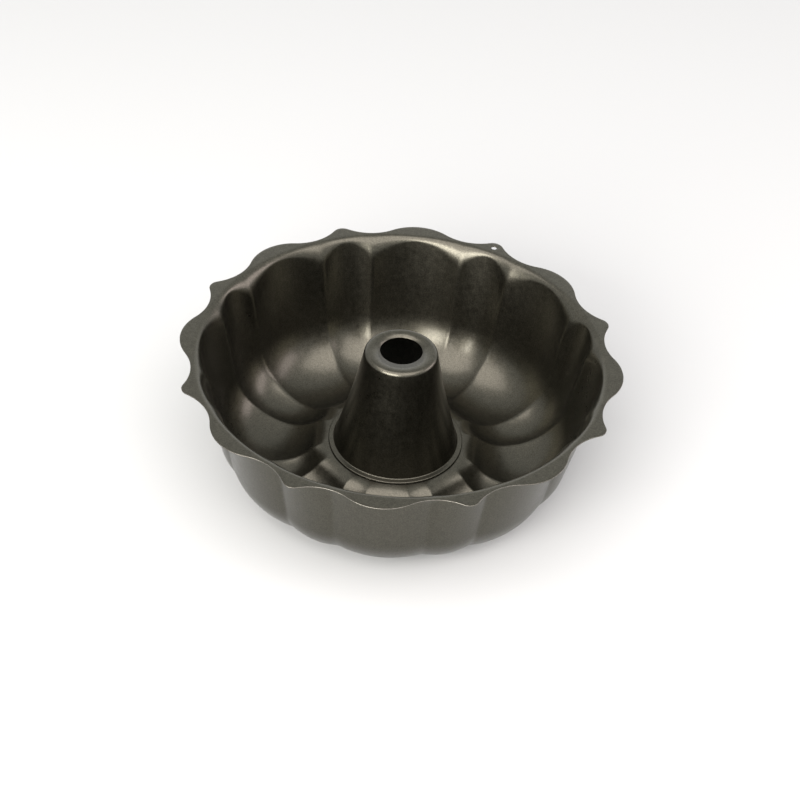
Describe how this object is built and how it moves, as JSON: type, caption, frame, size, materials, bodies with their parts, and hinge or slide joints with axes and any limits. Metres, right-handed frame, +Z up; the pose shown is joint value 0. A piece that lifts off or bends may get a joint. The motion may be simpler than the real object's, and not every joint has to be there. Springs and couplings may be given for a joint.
{
  "type": "bundt pan",
  "caption": "Fluted ring cake pan of coated pressed steel, with alternating wide and narrow lobes, a scalloped flat rim with a hang hole, and a crimped-in conical centre tube.",
  "frame": {"origin": "on the pan's axis, at the level of the table that the pan stands on", "axes": "+Z up along the pan's axis, from the floor to the open side; +Y from the axis towards the hang hole in the rim; +X completes the right-handed frame, through the middle of a narrow lobe"},
  "size_m": [0.2684, 0.2684, 0.0858],
  "materials": {
    "pan_coating": "satin non-stick coating, dark bronze grey with a fine metallic speckle",
    "tube_coating": "satin non-stick coating, dark bronze grey with a fine metallic speckle"
  },
  "bodies": {
    "root": {"fluted_pan": "pan_coating", "centre_tube": "tube_coating"}
  },
  "joints": []
}
